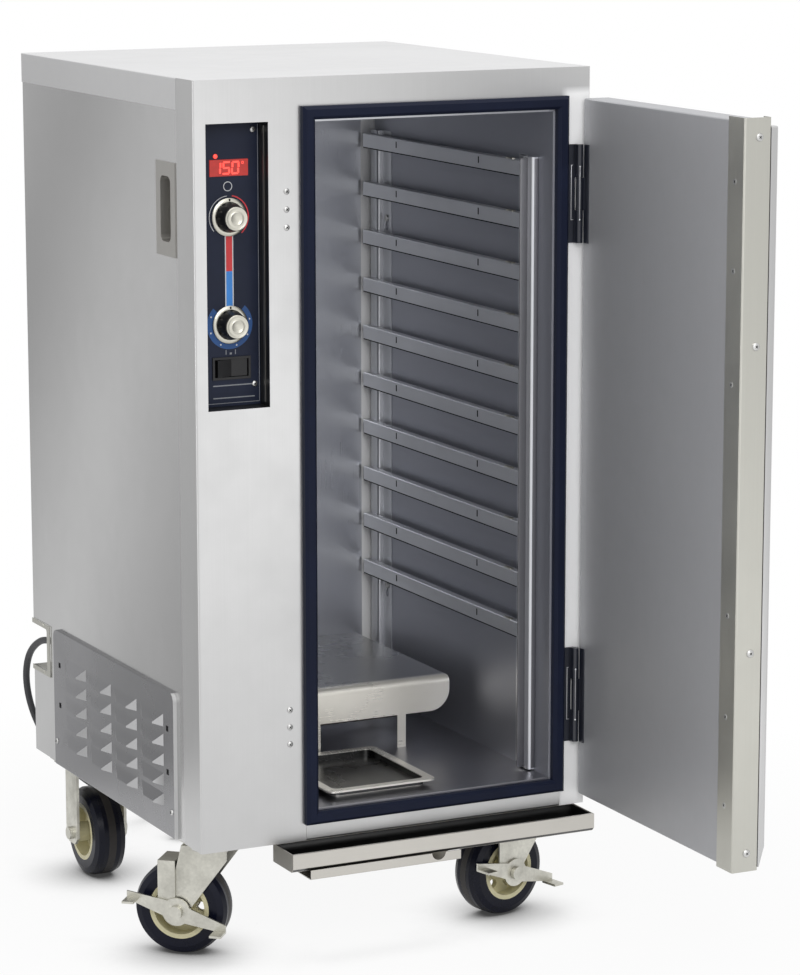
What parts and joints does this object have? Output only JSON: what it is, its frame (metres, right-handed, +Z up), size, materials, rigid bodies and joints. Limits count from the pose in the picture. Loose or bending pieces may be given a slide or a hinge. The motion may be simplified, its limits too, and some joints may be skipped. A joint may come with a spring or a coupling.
{
  "type": "heated holding cabinet",
  "caption": "Tall insulated steel cabinet on casters that keeps trays of food hot, with a side-hinged door, lift-out tray racks and a recessed control panel.",
  "frame": {"origin": "on the floor under the middle of the cabinet's shell", "axes": "+X to the right as seen from the front, -Y out of the front, +Z up"},
  "size_m": [0.67, 1.1665, 1.165],
  "materials": {
    "steel_skin": "brushed sheet steel",
    "steel_door": "brushed sheet steel",
    "steel_vent": "brushed sheet steel, pressed",
    "steel_liner": "matt sheet steel",
    "steel_rack": "bright sheet steel",
    "edge_metal": "satin, slightly warm",
    "base_metal": "galvanised, dull",
    "wool": "mineral wool board",
    "foam": "foamed core",
    "seal_rubber": "matt",
    "panel_black": "satin printed panel",
    "lens_red": "clear gloss lens",
    "switch_black": "moulded, satin",
    "knob_black": "moulded, satin",
    "rocker_black": "moulded, gloss",
    "screw_zinc": "zinc plated",
    "hinge_black": "black, satin",
    "element_metal": "heat-tinted steel",
    "caster_zinc": "zinc plated, slightly warm",
    "hub_cream": "moulded, satin",
    "tyre_navy": "smooth solid tyre",
    "cord_grey": "moulded, matt"
  },
  "bodies": {
    "cabinet": {"back_panel": "steel_skin", "base_pan": "base_metal", "bottom_rail": "steel_skin", "cabinet_screws": "screw_zinc", "control_panel": "panel_black", "control_recess": "steel_vent", "cord_coil": "cord_grey", "cord_pocket": "steel_vent", "display_lenses": "lens_red", "door_seal": "seal_rubber", "front_panel": "steel_skin", "heat_baffle": "steel_liner", "heating_element": "element_metal", "hinge_frame_leaves": "hinge_black", "insulation": "wool", "left_side_panel": "steel_skin", "liner_back": "steel_liner", "liner_ceiling": "steel_liner", "liner_floor": "steel_liner", "liner_sides": "steel_liner", "power_cord": "cord_grey", "power_plug": "cord_grey", "rack_studs": "steel_rack", "rear_caster_forks": "caster_zinc", "right_side_panel": "steel_skin", "side_grips": "steel_vent", "strain_relief": "cord_grey", "switch_housing": "switch_black", "swivel_plates": "caster_zinc", "thermostats": "switch_black", "top_cover": "steel_skin", "trough_bracket": "edge_metal", "vent_panel": "steel_vent"},
    "door": {"door_inner_pan": "steel_door", "door_edge_channel": "edge_metal", "door_core": "foam", "door_skin": "steel_door", "door_screws": "screw_zinc", "hinge_door_leaves": "hinge_black", "door_pull": "steel_door"},
    "front_left_swivel": {"front_left_fork": "caster_zinc"},
    "front_right_swivel": {"front_right_fork": "caster_zinc"},
    "front_left_wheel": {"front_left_hub": "hub_cream", "front_left_tyre": "tyre_navy"},
    "front_right_wheel": {"front_right_hub": "hub_cream", "front_right_tyre": "tyre_navy"},
    "rear_left_wheel": {"rear_left_hub": "hub_cream", "rear_left_tyre": "tyre_navy"},
    "rear_right_wheel": {"rear_right_hub": "hub_cream", "rear_right_tyre": "tyre_navy"},
    "front_left_lever": {"front_left_brake": "caster_zinc"},
    "front_right_lever": {"front_right_brake": "caster_zinc"},
    "upper_dial": {"upper_knob": "knob_black"},
    "lower_dial": {"lower_knob": "knob_black"},
    "switch_rocker": {"rocker": "rocker_black"},
    "rack_left": {"left_rack": "steel_rack"},
    "rack_right": {"right_rack": "steel_rack"},
    "pan": {"water_pan": "steel_liner"},
    "trough": {"drip_trough": "edge_metal"}
  },
  "joints": [
    {"name": "door_swing", "type": "hinge", "parent": "cabinet", "child": "door", "pos_m": [0.265, -0.31, 0.66], "axis": [0, 0, 1], "range_deg": [-89.3, 15.7]},
    {"name": "front_left_swivel_turn", "type": "hinge", "parent": "cabinet", "child": "front_left_swivel", "pos_m": [-0.232, -0.213, 0.155], "axis": [0, 0, 1], "continuous": true},
    {"name": "front_left_wheel_spin", "type": "hinge", "parent": "front_left_swivel", "child": "front_left_wheel", "pos_m": [-0.26111, -0.18857, 0.0635], "axis": [-0.6428, -0.766, 0], "continuous": true},
    {"name": "front_left_brake_press", "type": "hinge", "parent": "front_left_swivel", "child": "front_left_lever", "pos_m": [-0.26111, -0.18857, 0.0635], "axis": [-0.6428, -0.766, 0], "range_deg": [0, 32]},
    {"name": "front_right_swivel_turn", "type": "hinge", "parent": "cabinet", "child": "front_right_swivel", "pos_m": [0.232, -0.213, 0.155], "axis": [0, 0, 1], "continuous": true},
    {"name": "front_right_wheel_spin", "type": "hinge", "parent": "front_right_swivel", "child": "front_right_wheel", "pos_m": [0.19497, -0.22155, 0.0635], "axis": [0.225, -0.9744, 0], "continuous": true},
    {"name": "front_right_brake_press", "type": "hinge", "parent": "front_right_swivel", "child": "front_right_lever", "pos_m": [0.19497, -0.22155, 0.0635], "axis": [0.225, -0.9744, 0], "range_deg": [0, 32]},
    {"name": "rear_left_wheel_spin", "type": "hinge", "parent": "cabinet", "child": "rear_left_wheel", "pos_m": [-0.232, 0.199, 0.0635], "axis": [1, 0, 0], "continuous": true},
    {"name": "rear_right_wheel_spin", "type": "hinge", "parent": "cabinet", "child": "rear_right_wheel", "pos_m": [0.232, 0.199, 0.0635], "axis": [1, 0, 0], "continuous": true},
    {"name": "upper_knob_turn", "type": "hinge", "parent": "cabinet", "child": "upper_dial", "pos_m": [-0.224, -0.283, 0.989], "axis": [0, -1, 0], "range_deg": [-270, 0]},
    {"name": "lower_knob_turn", "type": "hinge", "parent": "cabinet", "child": "lower_dial", "pos_m": [-0.224, -0.283, 0.8515], "axis": [0, -1, 0], "range_deg": [-270, 0]},
    {"name": "rocker_tip", "type": "hinge", "parent": "cabinet", "child": "switch_rocker", "pos_m": [-0.2225, -0.2705, 0.7955], "axis": [0, 0, 1], "range_deg": [-16, 0]},
    {"name": "left_rack_lift", "type": "slide", "parent": "cabinet", "child": "rack_left", "axis": [0, 0, 1], "range_m": [0, 0.012]},
    {"name": "right_rack_lift", "type": "slide", "parent": "cabinet", "child": "rack_right", "axis": [0, 0, 1], "range_m": [0, 0.012]},
    {"name": "water_pan_slide", "type": "slide", "parent": "cabinet", "child": "pan", "axis": [0, -1, 0], "range_m": [0, 0.25]},
    {"name": "drip_trough_slide", "type": "slide", "parent": "cabinet", "child": "trough", "axis": [0, -1, 0], "range_m": [0, 0.12]}
  ]
}
